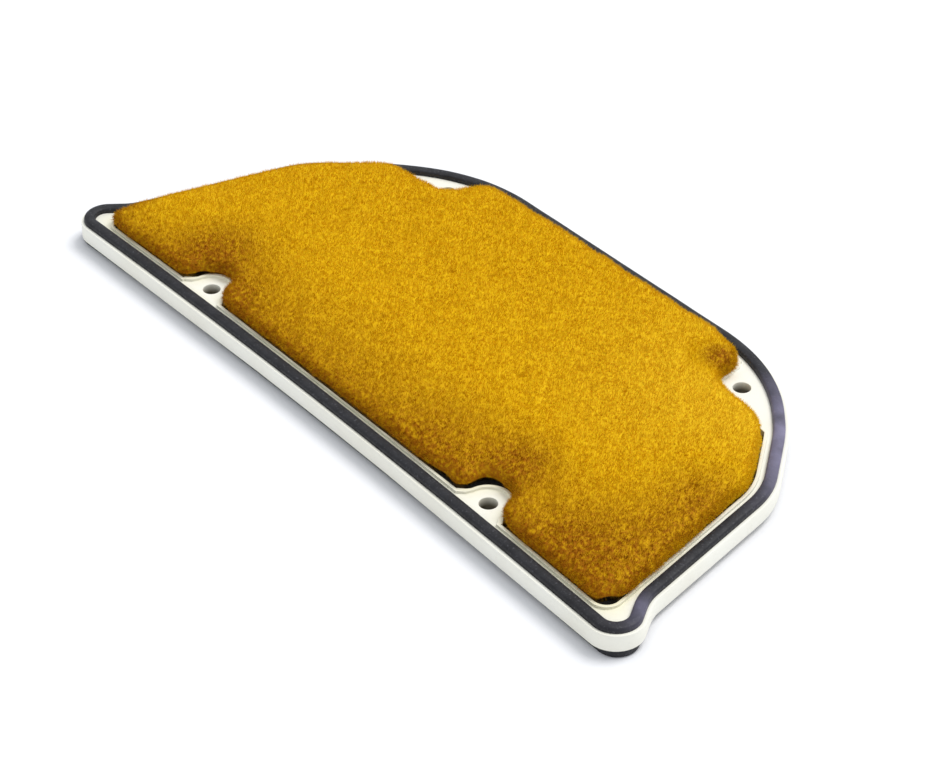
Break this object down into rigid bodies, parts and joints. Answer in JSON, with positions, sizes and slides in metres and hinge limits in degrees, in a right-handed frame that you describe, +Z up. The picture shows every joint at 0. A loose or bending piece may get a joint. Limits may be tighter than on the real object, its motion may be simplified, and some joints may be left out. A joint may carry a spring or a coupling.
{
  "type": "panel air filter",
  "caption": "Flat motorcycle airbox filter: moulded frame with a lobe at each front corner, rubber seals on both faces, plain screw lugs and a thick crowned fibre pad on a wire screen.",
  "frame": {"origin": "under the middle of the frame's box, in the plane that the lower seal rests on", "axes": "+X along the long front edge, +Y from that edge towards the back edge, +Z up towards the dirty side of the pad"},
  "size_m": [0.2898, 0.1324, 0.0169],
  "materials": {
    "frame_plastic": "cream moulded plastic, satin",
    "seal_rubber": "matt black rubber",
    "screen_steel": "plain woven steel wire",
    "sealant": "dark brown adhesive, slightly glossy",
    "scrim_cloth": "thin open cloth",
    "felt": "dense oiled felt",
    "pad_fibre": "gold oiled fibre nap"
  },
  "bodies": {
    "root": {"upper_frame": "frame_plastic", "lower_frame": "frame_plastic", "upper_seal": "seal_rubber", "lower_seal": "seal_rubber", "wire_screen": "screen_steel", "edge_sealant": "sealant", "backing_scrim": "scrim_cloth", "dense_felt": "felt", "fibre_pad": "pad_fibre"}
  },
  "joints": []
}
